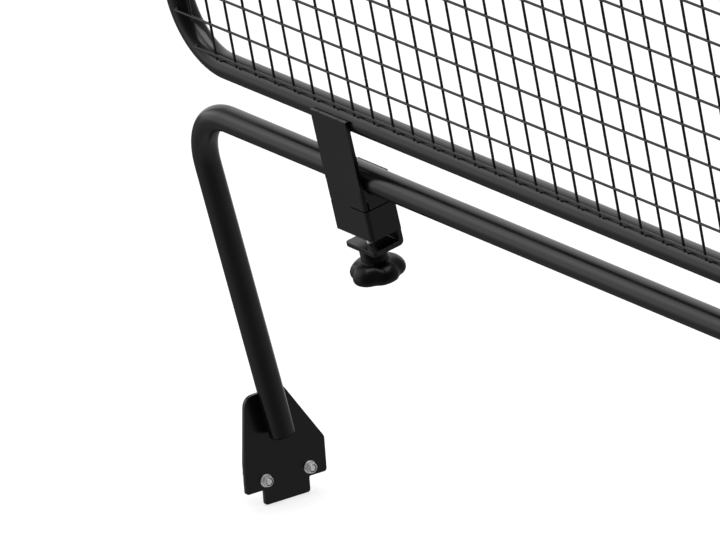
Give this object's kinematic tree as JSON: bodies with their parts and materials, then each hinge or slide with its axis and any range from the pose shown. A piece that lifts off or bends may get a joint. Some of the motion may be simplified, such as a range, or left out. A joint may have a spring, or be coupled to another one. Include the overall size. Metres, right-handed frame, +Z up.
{
  "type": "headache rack",
  "caption": "Bolt-on headache rack: a bent-tube hoop with foot plates and a framed wire-mesh panel clamped to its crossbar.",
  "frame": {"origin": "under the middle of the rack, at the level of the foot plates' lower edge", "axes": "+X across the vehicle to the right, +Y away from the side where the clamps' strips and the wires show, +Z up along the foot plates"},
  "size_m": [1.6508, 0.2532, 1.1409],
  "materials": {
    "powder_coat": "satin black powder coat on steel tube and plate",
    "mesh_powder_coat": "satin black powder coat on welded wire",
    "zinc_fasteners": "bright zinc-plated steel",
    "black_plastic": "moulded black plastic, light satin",
    "rubber_pad": "matt black rubber"
  },
  "bodies": {
    "hoop": {"hoop_tube": "powder_coat", "leg_plug_left": "black_plastic", "foot_plate_left": "powder_coat", "bolt_front_left": "zinc_fasteners", "bolt_rear_left": "zinc_fasteners", "washer_front_left": "zinc_fasteners", "washer_rear_left": "zinc_fasteners", "nut_front_left": "zinc_fasteners", "nut_rear_left": "zinc_fasteners", "leg_plug_right": "black_plastic", "foot_plate_right": "powder_coat", "bolt_front_right": "zinc_fasteners", "bolt_rear_right": "zinc_fasteners", "washer_front_right": "zinc_fasteners", "washer_rear_right": "zinc_fasteners", "nut_front_right": "zinc_fasteners", "nut_rear_right": "zinc_fasteners"},
    "panel": {"panel_frame": "powder_coat", "mesh_screen": "mesh_powder_coat", "clamp_bracket_left": "powder_coat", "clamp_lip_left": "powder_coat", "grip_pad_left": "rubber_pad", "clamp_web_left": "powder_coat", "weld_nut_left": "zinc_fasteners", "clamp_bracket_right": "powder_coat", "clamp_lip_right": "powder_coat", "grip_pad_right": "rubber_pad", "clamp_web_right": "powder_coat", "weld_nut_right": "zinc_fasteners"},
    "jaw_left": {"clamp_jaw_left": "powder_coat", "jaw_saddle_left": "black_plastic"},
    "knob_left": {"knob_left": "black_plastic", "knob_stud_left": "zinc_fasteners"},
    "jaw_right": {"clamp_jaw_right": "powder_coat", "jaw_saddle_right": "black_plastic"},
    "knob_right": {"knob_right": "black_plastic", "knob_stud_right": "zinc_fasteners"}
  },
  "joints": [
    {"name": "panel_tilt", "type": "hinge", "parent": "hoop", "child": "panel", "pos_m": [0, -0.03333, 0.5297], "axis": [1, 0, 0], "range_deg": [-20, 20]},
    {"name": "jaw_slide_left", "type": "slide", "parent": "panel", "child": "jaw_left", "axis": [0, 0.1616, -0.9869], "range_m": [0, 0.009]},
    {"name": "knob_turn_left", "type": "hinge", "parent": "jaw_left", "child": "knob_left", "pos_m": [-0.4257, -0.02224, 0.44032], "axis": [0, 0.1616, -0.9869], "range_deg": [0, 2160]},
    {"name": "jaw_slide_right", "type": "slide", "parent": "panel", "child": "jaw_right", "axis": [0, 0.1616, -0.9869], "range_m": [0, 0.009]},
    {"name": "knob_turn_right", "type": "hinge", "parent": "jaw_right", "child": "knob_right", "pos_m": [0.4257, -0.02224, 0.44032], "axis": [0, 0.1616, -0.9869], "range_deg": [0, 2160]}
  ],
  "couplings": [
    {"joint": "knob_turn_left", "follows": "jaw_slide_left", "rad_per_m": 4188.8},
    {"joint": "knob_turn_right", "follows": "jaw_slide_right", "rad_per_m": 4188.8}
  ]
}
